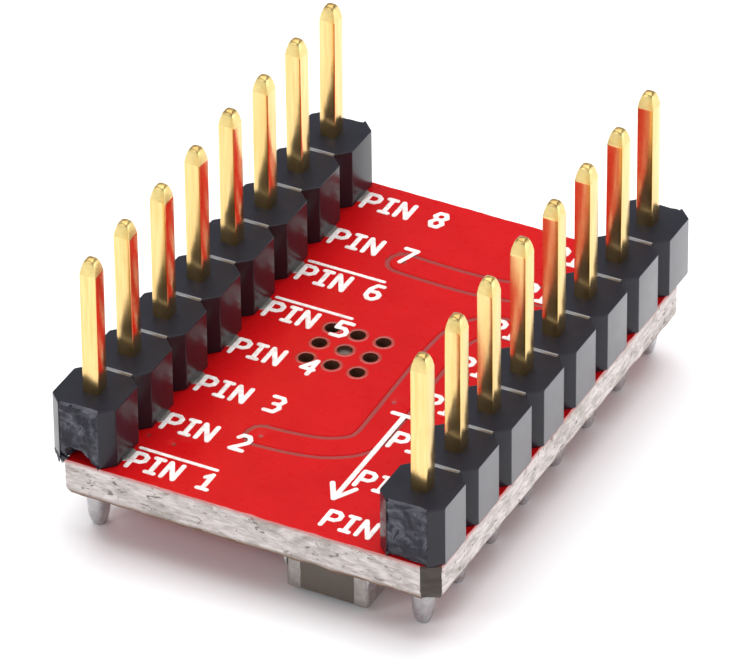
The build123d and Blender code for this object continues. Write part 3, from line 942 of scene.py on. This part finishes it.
def header_pin(name, rng):
    """A square pin: sheared tail, long flat sides and a coined four-sided tip."""
    x, y, _ = middle_mm(f"pin_{name}")
    tip = PIN_TIP_Z - rng.uniform(0.0, 0.05)
    turn = math.radians(rng.uniform(-1.3, 1.3))
    lean = Vector((rng.uniform(-1, 1), rng.uniform(-1, 1))) * 0.035
    bm = bmesh.new()
    rings = []
    for z, side, corner in PIN_FOOT + tuple((tip - depth, *size) for depth, *size in PIN_TIP):
        shift = lean * max(0.0, (z - TOP_Z) / (tip - TOP_Z))
        rings.append(rounded_square(x + shift.x, y + shift.y, side, corner, turn, z))
    skin(bm, rings)
    for f in bm.faces:
        f.material_index = int(f.calc_center_median().z > tip - COINED_LENGTH)
    new_piece(f"pin_{name}_plated", bm, (GOLD, COINED), (f"pin_{name}",), sharp=26)


def tail_solder(row, pins):
    """Solder wetted up each tail, wider at the pad and uneven round the pin."""
    bm = bmesh.new()
    for k, pin in enumerate(pins):
        x, y, _ = middle_mm(f"pin_{pin}")
        rings = []
        for drop, radius in TAIL_PROFILE:
            ring = []
            for px, py in circle(0, 0, 1, 28):
                swell = 1 + 0.05 * rough(px, py, drop * 1.5 + k * 3, 1.2)
                squareness = 1 + 0.07 * abs(math.sin(2 * math.atan2(py, px))) * min(1, drop)
                r = radius * (swell * squareness if drop > 0 else 1)
                ring.append((x + px * r, y + py * r, UNDER_Z - drop))
            rings.append(ring)
        skin(bm, rings)
    node = f"solder_{row}_row"
    new_piece(f"{node}_joints", bm, (SOLDER,), (node,), sharp=50)


# ---------------------------------------------------------------- component side

BODY_INSET = 0.03
COAT_LAP = 0.04
COAT_BOTTOM, COAT_TOP = 0.005, 0.12
PAD_MARGIN = 0.08
PAD_THICKNESS = 0.02
LEAD_PITCH = 0.5
MARK_PLACE = 0.6
EASED_EDGE = 0.02


def chip_component(name):
    """A chip capacitor or resistor: its body and the two rounded, slightly lumpy caps."""
    low, high, axis = component_box(name)
    middle = (low + high) / 2
    terminals = nodes[f"{name}_terminals"].data
    inner = min(abs(v.co[axis] / MM - middle[axis]) for v in terminals.vertices)
    cap_radius = min(0.17, (high.z - low.z) * 0.2)
    inset = Vector((BODY_INSET,) * 3)
    body_low, body_high = low + inset, high - inset
    bm = bmesh.new()
    block(bm, body_low, body_high, cap_radius - BODY_INSET + 0.005, 4)
    if "capacitor" in name:
        new_piece(f"{name}_ceramic", bm, (CAPACITOR,), (f"{name}_body",))
    else:
        ceramic = len(bm.faces)
        coat_low, coat_high = body_low.copy(), body_high.copy()
        coat_low[axis] = middle[axis] - inner - COAT_LAP
        coat_high[axis] = middle[axis] + inner + COAT_LAP
        coat_low.z, coat_high.z = low.z + COAT_BOTTOM, low.z + COAT_TOP
        part = bmesh.new()
        block(part, coat_low, coat_high, 0.04)
        merge(bm, part)
        bm.faces.ensure_lookup_table()
        for f in bm.faces[ceramic:]:
            f.material_index = 1
        new_piece(f"{name}_coated", bm, (ALUMINA, RESISTOR), (f"{name}_body",))
    bm = bmesh.new()
    for side in (-1, 1):
        cap_low, cap_high = low.copy(), high.copy()
        (cap_high if side < 0 else cap_low)[axis] = middle[axis] + side * inner
        part = bmesh.new()
        block(part, cap_low, cap_high, cap_radius, 4)
        bmesh.ops.subdivide_edges(part, edges=part.edges[:], cuts=3, use_grid_fill=True)
        for v in part.verts:
            push = 0.012 * (rough(*v.co, 2.5, 5.0) - 0.4)
            v.co += (v.co - (cap_low + cap_high) / 2).normalized() * push
        merge(bm, part)
    new_piece(f"{name}_caps", bm, (TIN,), (f"{name}_terminals",), sharp=50)


def component_fillets():
    """Hollow menisci of solder at both ends of each chip component."""
    bm = bmesh.new()
    for name in COMPONENTS:
        low, high, axis = component_box(name)
        across = 1 - axis
        height = (high.z - low.z) * 0.6
        half = (high[across] - low[across]) / 2
        middle = (high[across] + low[across]) / 2
        for side, end in ((-1, low[axis]), (1, high[axis])):
            rings = []
            for i in range(9):
                w = -1 + i / 4
                rise = height * (1 - 0.35 * w ** 4)
                reach = 0.25 * (1 - 0.25 * w ** 4)
                curve = [(reach * (1 - j / 7), rise * (j / 7) ** 2.2) for j in range(8)]
                ring = []
                for out, up in curve + [(-0.06, rise), (-0.06, 0)]:
                    spot = [0, 0, UNDER_Z - up]
                    spot[axis] = end + side * out
                    spot[across] = middle + w * half
                    ring.append(spot)
                rings.append(ring)
            skin(bm, rings)
    new_piece("component_solder_menisci", bm, (SOLDER,), ("component_solder",), sharp=60)


def component_pads():
    """Tinned copper pads under the ends of the chip components."""
    bm = bmesh.new()
    for name in COMPONENTS:
        low, high, axis = component_box(name)
        for side, end in ((-1, low[axis]), (1, high[axis])):
            pad_low = Vector((low.x - PAD_MARGIN, low.y - PAD_MARGIN, UNDER_Z - PAD_THICKNESS))
            pad_high = Vector((high.x + PAD_MARGIN, high.y + PAD_MARGIN, UNDER_Z))
            pad_low[axis], pad_high[axis] = sorted((end - side * 0.35, end + side * 0.32))
            block(bm, pad_low, pad_high, 0.008, 1)
    new_piece("component_pads", bm, (TIN,), sharp=40)


def driver_chip():
    """The moulding with its eased edges, the dimple by its first lead, and the leads' solder."""
    low, high = box_mm("chip_moulding")
    bm = bmesh.new()
    block(bm, low, high, 0.035)
    new_piece("chip_moulding_shell", bm, (CHIP,), ("chip_moulding",))
    bm = bmesh.new()
    skin(bm, [at_height(circle(low.x + MARK_PLACE, low.y + MARK_PLACE, radius, 28), low.z - depth)
              for radius, depth in ((0.30, 0.002), (0.27, 0.006), (0.2, 0.004), (0.08, 0.003))])
    new_piece("chip_first_lead_mark", bm, (GREY_MARK,), sharp=60)
    bm = bmesh.new()
    lead_low, lead_high = box_mm("chip_leads")
    centre = (lead_low + lead_high) / 2
    reach = (lead_high.x - lead_low.x) / 2
    for side in range(4):
        turn = Matrix.Rotation(side * math.pi / 2, 3, "Z")
        for k in range(7):
            offset = (k - 3) * LEAD_PITCH
            rings = []
            for out, up, half in ((0.16, 0.0, 0.15), (0.10, 0.05, 0.13), (0.03, 0.14, 0.11),
                                  (-0.01, 0.19, 0.09)):
                ring = []
                for dx, dy in ((-0.1, -half), (out, -half), (out, half), (-0.1, half)):
                    spot = turn @ Vector((reach + dx, offset + dy, 0))
                    ring.append((centre.x + spot.x, centre.y + spot.y, UNDER_Z - up))
                rings.append(ring)
            skin(bm, rings)
    new_piece("chip_lead_solder", bm, (SOLDER,), sharp=50)


def finish_nodes():
    """The CAD nodes that stay get their materials, and the trimmer's edges are eased."""
    finishes = {
        "trimmer_base": ALUMINA, "trimmer_track": TRACK, "trimmer_eyelet": BRASS,
        "trimmer_rotor": NICKEL, "trimmer_wiper": BRASS, "trimmer_terminals": TIN,
        "thermal_vias": COPPER, "chip_leads": TIN, "chip_thermal_pad": TIN, "chip_die": SILICON,
    }
    for name, material in finishes.items():
        node = nodes[name]
        node.data.materials.clear()
        node.data.materials.append(material)
        if name.startswith("trimmer"):
            node.modifiers.new("weld", "WELD").merge_threshold = 1e-6
            ease = node.modifiers.new("ease", "BEVEL")
            ease.width = EASED_EDGE * MM
            ease.segments = 2
            ease.limit_method = "ANGLE"
            ease.angle_limit = math.radians(40)


# ---------------------------------------------------------------- assembly

under_outline, top_outline = sawn_edges(fine_outline())
mask_sheet("board_pin_side", TOP_Z, 1, top_outline, TOP_TRACES, TRACE_HALF_WIDTH, VIA_SPOTS,
           COVERED_VIAS, ("circuit_board",))
mask_sheet("board_component_side", UNDER_Z, -1, under_outline, UNDER_TRACES,
           UNDER_TRACE_HALF_WIDTH, (), UNDER_VIAS)
via_rims()
row_pads()
legends()
component_legends()
rng = random.Random(5)
for seed, (row, pins) in enumerate(ROWS):
    header_strip(row, seed * 5.0 + 1.0)
    tail_solder(row, pins)
    for pin in pins:
        header_pin(pin, rng)
for name in COMPONENTS:
    chip_component(name)
component_fillets()
component_pads()
driver_chip()
finish_nodes()


# ---------------------------------------------------------------- studio

CAMERA_AZIMUTH = 27.43
CAMERA_ELEVATION = 35.30
CAMERA_ROLL = -0.59
CAMERA_DISTANCE = 269.58
CAMERA_TARGET = (-0.7, 1.4, TOP_Z)
LENS = 363.7
SENSOR_WIDTH = 36
FLOOR_REACH = 500
HORIZON_STRENGTH = 1.35
OVERHEAD_STRENGTH = 0.42


def camera():
    """The photo's view: azimuth is counted from -Y towards +X."""
    a, e, r = (math.radians(v) for v in (CAMERA_AZIMUTH, CAMERA_ELEVATION, CAMERA_ROLL))
    back = Vector((math.sin(a) * math.cos(e), -math.cos(a) * math.cos(e), math.sin(e)))
    level = Vector((math.cos(a), math.sin(a), 0))
    rise = back.cross(level)
    right = math.cos(r) * level + math.sin(r) * rise
    up = math.cos(r) * rise - math.sin(r) * level
    data = bpy.data.cameras.new("camera")
    data.sensor_width = SENSOR_WIDTH
    data.lens = LENS
    data.clip_start, data.clip_end = 0.01, 10
    eye = bpy.data.objects.new("camera", data)
    scene.collection.objects.link(eye)
    place = (Vector(CAMERA_TARGET) + back * CAMERA_DISTANCE) * MM
    eye.matrix_world = Matrix.Translation(place) @ Matrix((right, up, back)).transposed().to_4x4()
    scene.camera = eye


def softbox(name, place, size, power):
    """A square area light aimed at the module; place and size are in millimetres."""
    data = bpy.data.lights.new(name, "AREA")
    data.shape = "SQUARE"
    data.size = size * MM
    data.energy = power
    light = bpy.data.objects.new(name, data)
    scene.collection.objects.link(light)
    light.location = Vector(place) * MM
    light.rotation_euler = (-Vector(place)).to_track_quat("-Z", "Y").to_euler()


def white_floor():
    """A wide sheet under the module."""
    bm = bmesh.new()
    bmesh.ops.create_grid(bm, x_segments=1, y_segments=1, size=FLOOR_REACH * MM)
    mesh = bpy.data.meshes.new("floor")
    bm.to_mesh(mesh)
    bm.free()
    mesh.materials.append(floor_surface())
    floor = bpy.data.objects.new("floor", mesh)
    scene.collection.objects.link(floor)


def sky():
    """A white surround that is bright at the horizon and dim overhead."""
    world = bpy.data.worlds.new("studio")
    world.use_nodes = True
    tree = world.node_tree
    coordinates = tree.nodes.new("ShaderNodeTexCoord")
    split = tree.nodes.new("ShaderNodeSeparateXYZ")
    ramp = tree.nodes.new("ShaderNodeMapRange")
    ramp.interpolation_type = "SMOOTHSTEP"
    settings = {"From Min": 0.05, "From Max": 0.50, "To Min": HORIZON_STRENGTH,
                "To Max": OVERHEAD_STRENGTH}
    for socket, number in settings.items():
        ramp.inputs[socket].default_value = number
    tree.links.new(coordinates.outputs["Generated"], split.inputs["Vector"])
    tree.links.new(split.outputs["Z"], ramp.inputs["Value"])
    background = tree.nodes["Background"]
    background.inputs["Color"].default_value = (0.97, 0.98, 1.0, 1)
    tree.links.new(ramp.outputs["Result"], background.inputs["Strength"])
    scene.world = world


camera()
white_floor()
sky()
softbox("key", (-40, 90, 350), 420, 1.95)
softbox("front_fill", (-113, -211, 183), 60, 0.11)
softbox("side_fill", (300, 110, 60), 160, 0.30)
scene.view_settings.view_transform = "Standard"
